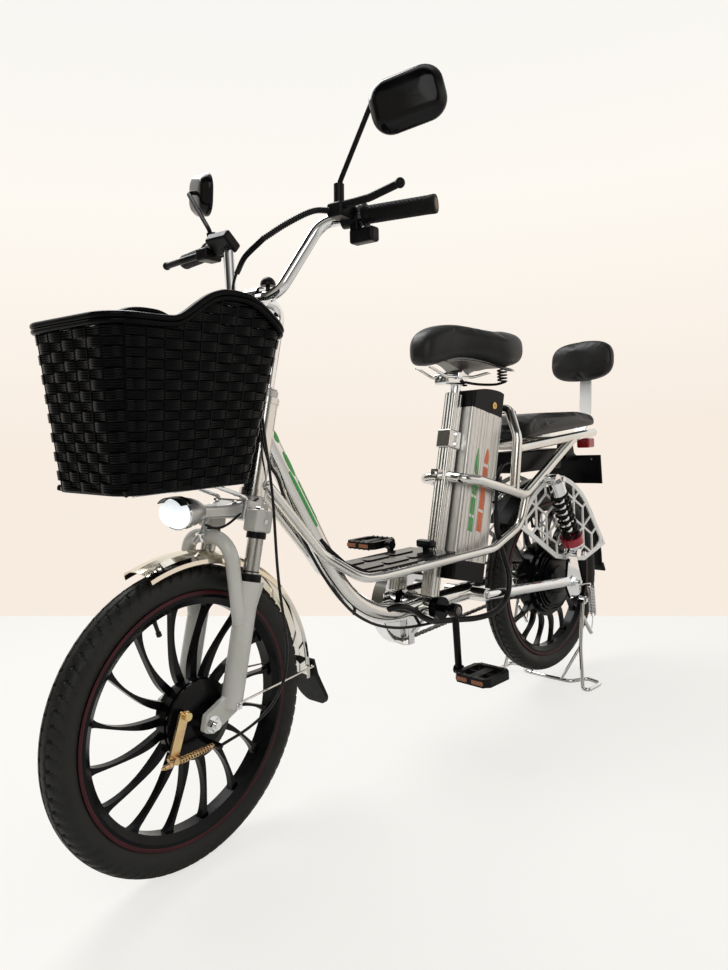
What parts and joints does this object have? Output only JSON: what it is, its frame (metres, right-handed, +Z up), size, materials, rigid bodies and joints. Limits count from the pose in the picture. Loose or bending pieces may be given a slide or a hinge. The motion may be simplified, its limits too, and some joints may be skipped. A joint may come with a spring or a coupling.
{
  "type": "electric bicycle",
  "caption": "Step-through electric bicycle on its rear double-leg stand: cast wheels, front basket, two saddles, battery behind the seat tube, steering, cranks and stand that move.",
  "frame": {"origin": "middle of the parked bicycle's box, on the ground", "axes": "+X forward, +Y to the rider's left, +Z up; the bars stand turned left"},
  "size_m": [1.7186, 0.7047, 1.3128],
  "materials": {
    "polished_aluminium": "polished",
    "chrome_steel": "bright chrome",
    "brushed_steel": "ground",
    "cast_silver": "cast, satin",
    "silver_case": "anodised",
    "white_paint": "gloss",
    "black_metal": "satin",
    "red_paint": "gloss",
    "dark_steel": "oiled",
    "black_plastic": "moulded",
    "rubber": "matte",
    "tyre": "matte",
    "black_vinyl": "grained",
    "black_wicker": "woven",
    "clear_lens": "clear",
    "red_lens": "clear red"
  },
  "bodies": {
    "frame": {"main_tube": "polished_aluminium", "side_rails": "polished_aluminium", "seat_tube": "polished_aluminium", "upper_loop": "polished_aluminium", "rear_rack": "polished_aluminium", "battery_hoop": "polished_aluminium", "swingarm": "chrome_steel", "rear_axle": "chrome_steel", "shock_bodies": "chrome_steel", "shock_springs": "black_metal", "shock_collars": "red_paint", "battery_case": "silver_case", "battery_cap": "black_plastic", "battery_base": "black_plastic", "footboard": "black_plastic", "saddle": "black_vinyl", "saddle_frame": "chrome_steel", "rear_pad": "black_vinyl", "backrest_pad": "black_vinyl", "backrest_bracket": "white_paint", "rear_fender": "black_plastic", "plate_holder": "black_plastic", "tail_lamp": "red_lens", "wheel_guards": "white_paint", "controller_box": "black_plastic", "chain": "dark_steel", "frame_cables": "black_plastic", "chain_guard": "chrome_steel"},
    "steering": {"fork_crown": "cast_silver", "crown_caps": "white_paint", "stanchions": "brushed_steel", "fork_lowers": "white_paint", "front_axle": "chrome_steel", "brake_plate": "black_metal", "front_fender": "chrome_steel", "front_flap": "rubber", "lamp_body": "black_plastic", "lamp_lens": "clear_lens", "lamp_bracket": "cast_silver", "handlebar": "chrome_steel", "grips": "rubber", "bar_controls": "black_plastic", "mirrors": "black_plastic", "basket": "black_wicker", "basket_support": "chrome_steel", "steering_cables": "black_plastic", "brake_arm": "cast_silver"},
    "front_wheel": {"front_tyre": "tyre", "front_wheel": "black_metal"},
    "rear_wheel": {"rear_tyre": "tyre", "rear_wheel": "black_metal", "hub_motor": "black_metal"},
    "crank": {"cranks": "black_metal", "chainring": "chrome_steel"},
    "left_pedal": {"left_pedal": "black_plastic"},
    "right_pedal": {"right_pedal": "black_plastic"},
    "stand": {"stand": "chrome_steel"}
  },
  "joints": [
    {"name": "steering_turn", "type": "hinge", "parent": "frame", "child": "steering", "pos_m": [0.4327, -0.0186, 0.62], "axis": [-0.2504, 0, 0.9681], "range_deg": [-53.5, 36.5]},
    {"name": "front_wheel_roll", "type": "hinge", "parent": "steering", "child": "front_wheel", "pos_m": [0.60193, -0.00759, 0.2599], "axis": [-0.1431, 0.989, -0.037], "continuous": true},
    {"name": "rear_wheel_roll", "type": "hinge", "parent": "frame", "child": "rear_wheel", "pos_m": [-0.5573, -0.0186, 0.292], "axis": [0, 1, 0], "continuous": true},
    {"name": "crank_turn", "type": "hinge", "parent": "frame", "child": "crank", "pos_m": [-0.0323, -0.0186, 0.32], "axis": [0, 1, 0], "continuous": true},
    {"name": "left_pedal_spin", "type": "hinge", "parent": "crank", "child": "left_pedal", "pos_m": [-0.0373, 0.0754, 0.184], "axis": [0, 1, 0], "continuous": true},
    {"name": "right_pedal_spin", "type": "hinge", "parent": "crank", "child": "right_pedal", "pos_m": [-0.0273, -0.1126, 0.456], "axis": [0, 1, 0], "continuous": true},
    {"name": "stand_swing", "type": "hinge", "parent": "frame", "child": "stand", "pos_m": [-0.5843, -0.0186, 0.236], "axis": [0, 1, 0], "range_deg": [0, 78]}
  ]
}
